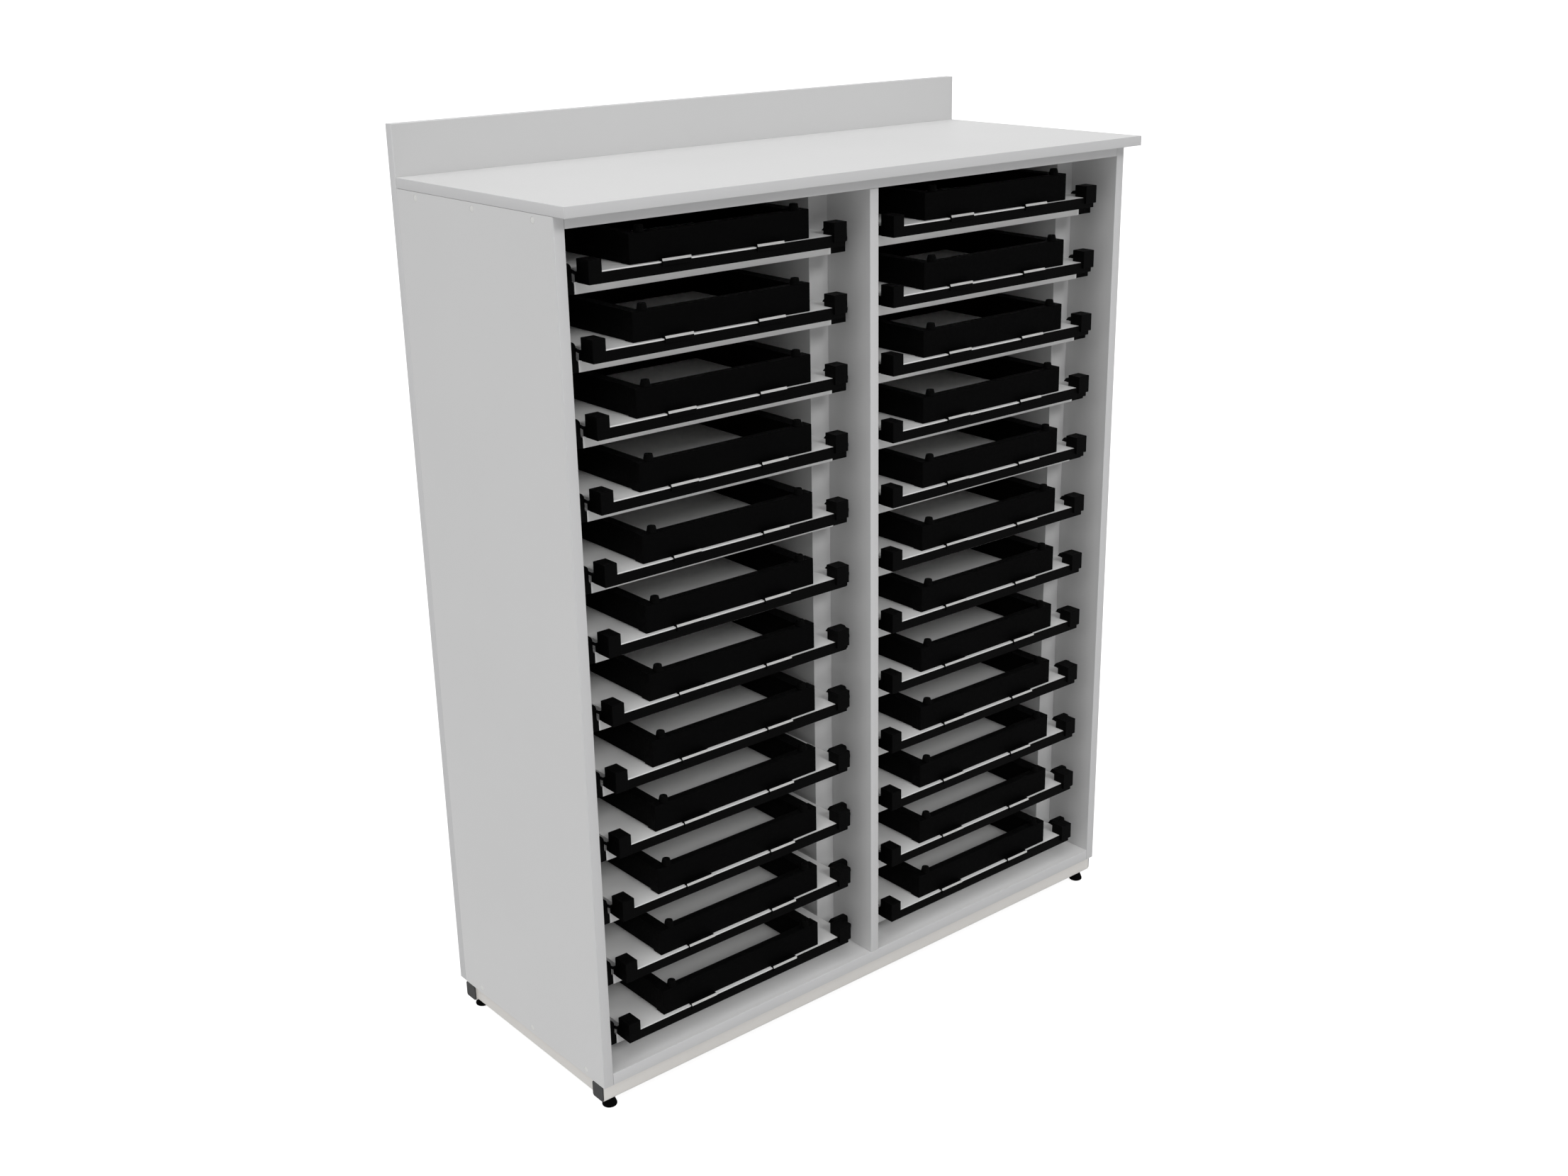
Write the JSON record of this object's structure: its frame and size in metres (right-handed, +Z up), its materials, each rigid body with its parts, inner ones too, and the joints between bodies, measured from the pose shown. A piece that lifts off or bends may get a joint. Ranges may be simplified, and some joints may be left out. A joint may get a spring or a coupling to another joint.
{
  "type": "drawing board storage unit",
  "caption": "White open-front cabinet on a tube base, with a worktop and stacked bays of sliding white drawing boards, each carrying a black rule and stand frame.",
  "frame": {"origin": "middle of the bounding box at floor level, under the levelling feet", "axes": "+X to the right seen from the open front, +Y to the back, +Z up"},
  "size_m": [1.1986, 0.4842, 1.5464],
  "materials": {
    "white_panel": "white melamine-faced board, satin",
    "white_board": "white laminate drawing surface, satin",
    "black_plastic": "black moulded plastic",
    "beige_metal": "off-white powder coat",
    "foot_plastic": "black plastic"
  },
  "bodies": {
    "cabinet": {"left_side_panel": "white_panel", "right_side_panel": "white_panel", "centre_partition": "white_panel", "top_panel": "white_panel", "bottom_panel": "white_panel", "back_panel": "white_panel", "worktop": "white_panel", "base_frame": "beige_metal", "foot_front_left": "foot_plastic", "foot_front_right": "foot_plastic", "foot_rear_left": "foot_plastic", "foot_rear_right": "foot_plastic"},
    "board_L01": {"drawing_board_L01": "white_board", "stand_frame_L01": "black_plastic"},
    "board_L02": {"drawing_board_L02": "white_board", "stand_frame_L02": "black_plastic"},
    "board_L03": {"drawing_board_L03": "white_board", "stand_frame_L03": "black_plastic"},
    "board_L04": {"drawing_board_L04": "white_board", "stand_frame_L04": "black_plastic"},
    "board_L05": {"drawing_board_L05": "white_board", "stand_frame_L05": "black_plastic"},
    "board_L06": {"drawing_board_L06": "white_board", "stand_frame_L06": "black_plastic"},
    "board_L07": {"drawing_board_L07": "white_board", "stand_frame_L07": "black_plastic"},
    "board_L08": {"drawing_board_L08": "white_board", "stand_frame_L08": "black_plastic"},
    "board_L09": {"drawing_board_L09": "white_board", "stand_frame_L09": "black_plastic"},
    "board_L10": {"drawing_board_L10": "white_board", "stand_frame_L10": "black_plastic"},
    "board_L11": {"drawing_board_L11": "white_board", "stand_frame_L11": "black_plastic"},
    "board_L12": {"drawing_board_L12": "white_board", "stand_frame_L12": "black_plastic"},
    "board_R01": {"drawing_board_R01": "white_board", "stand_frame_R01": "black_plastic"},
    "board_R02": {"drawing_board_R02": "white_board", "stand_frame_R02": "black_plastic"},
    "board_R03": {"drawing_board_R03": "white_board", "stand_frame_R03": "black_plastic"},
    "board_R04": {"drawing_board_R04": "white_board", "stand_frame_R04": "black_plastic"},
    "board_R05": {"drawing_board_R05": "white_board", "stand_frame_R05": "black_plastic"},
    "board_R06": {"drawing_board_R06": "white_board", "stand_frame_R06": "black_plastic"},
    "board_R07": {"drawing_board_R07": "white_board", "stand_frame_R07": "black_plastic"},
    "board_R08": {"drawing_board_R08": "white_board", "stand_frame_R08": "black_plastic"},
    "board_R09": {"drawing_board_R09": "white_board", "stand_frame_R09": "black_plastic"},
    "board_R10": {"drawing_board_R10": "white_board", "stand_frame_R10": "black_plastic"},
    "board_R11": {"drawing_board_R11": "white_board", "stand_frame_R11": "black_plastic"},
    "board_R12": {"drawing_board_R12": "white_board", "stand_frame_R12": "black_plastic"}
  },
  "joints": [
    {"name": "slide_L01", "type": "slide", "parent": "cabinet", "child": "board_L01", "axis": [0, -1, 0], "range_m": [0, 0.25]},
    {"name": "slide_L02", "type": "slide", "parent": "cabinet", "child": "board_L02", "axis": [0, -1, 0], "range_m": [0, 0.25]},
    {"name": "slide_L03", "type": "slide", "parent": "cabinet", "child": "board_L03", "axis": [0, -1, 0], "range_m": [0, 0.25]},
    {"name": "slide_L04", "type": "slide", "parent": "cabinet", "child": "board_L04", "axis": [0, -1, 0], "range_m": [0, 0.25]},
    {"name": "slide_L05", "type": "slide", "parent": "cabinet", "child": "board_L05", "axis": [0, -1, 0], "range_m": [0, 0.25]},
    {"name": "slide_L06", "type": "slide", "parent": "cabinet", "child": "board_L06", "axis": [0, -1, 0], "range_m": [0, 0.25]},
    {"name": "slide_L07", "type": "slide", "parent": "cabinet", "child": "board_L07", "axis": [0, -1, 0], "range_m": [0, 0.25]},
    {"name": "slide_L08", "type": "slide", "parent": "cabinet", "child": "board_L08", "axis": [0, -1, 0], "range_m": [0, 0.25]},
    {"name": "slide_L09", "type": "slide", "parent": "cabinet", "child": "board_L09", "axis": [0, -1, 0], "range_m": [0, 0.25]},
    {"name": "slide_L10", "type": "slide", "parent": "cabinet", "child": "board_L10", "axis": [0, -1, 0], "range_m": [0, 0.25]},
    {"name": "slide_L11", "type": "slide", "parent": "cabinet", "child": "board_L11", "axis": [0, -1, 0], "range_m": [0, 0.25]},
    {"name": "slide_L12", "type": "slide", "parent": "cabinet", "child": "board_L12", "axis": [0, -1, 0], "range_m": [0, 0.25]},
    {"name": "slide_R01", "type": "slide", "parent": "cabinet", "child": "board_R01", "axis": [0, -1, 0], "range_m": [0, 0.25]},
    {"name": "slide_R02", "type": "slide", "parent": "cabinet", "child": "board_R02", "axis": [0, -1, 0], "range_m": [0, 0.25]},
    {"name": "slide_R03", "type": "slide", "parent": "cabinet", "child": "board_R03", "axis": [0, -1, 0], "range_m": [0, 0.25]},
    {"name": "slide_R04", "type": "slide", "parent": "cabinet", "child": "board_R04", "axis": [0, -1, 0], "range_m": [0, 0.25]},
    {"name": "slide_R05", "type": "slide", "parent": "cabinet", "child": "board_R05", "axis": [0, -1, 0], "range_m": [0, 0.25]},
    {"name": "slide_R06", "type": "slide", "parent": "cabinet", "child": "board_R06", "axis": [0, -1, 0], "range_m": [0, 0.25]},
    {"name": "slide_R07", "type": "slide", "parent": "cabinet", "child": "board_R07", "axis": [0, -1, 0], "range_m": [0, 0.25]},
    {"name": "slide_R08", "type": "slide", "parent": "cabinet", "child": "board_R08", "axis": [0, -1, 0], "range_m": [0, 0.25]},
    {"name": "slide_R09", "type": "slide", "parent": "cabinet", "child": "board_R09", "axis": [0, -1, 0], "range_m": [0, 0.25]},
    {"name": "slide_R10", "type": "slide", "parent": "cabinet", "child": "board_R10", "axis": [0, -1, 0], "range_m": [0, 0.25]},
    {"name": "slide_R11", "type": "slide", "parent": "cabinet", "child": "board_R11", "axis": [0, -1, 0], "range_m": [0, 0.25]},
    {"name": "slide_R12", "type": "slide", "parent": "cabinet", "child": "board_R12", "axis": [0, -1, 0], "range_m": [0, 0.25]}
  ]
}
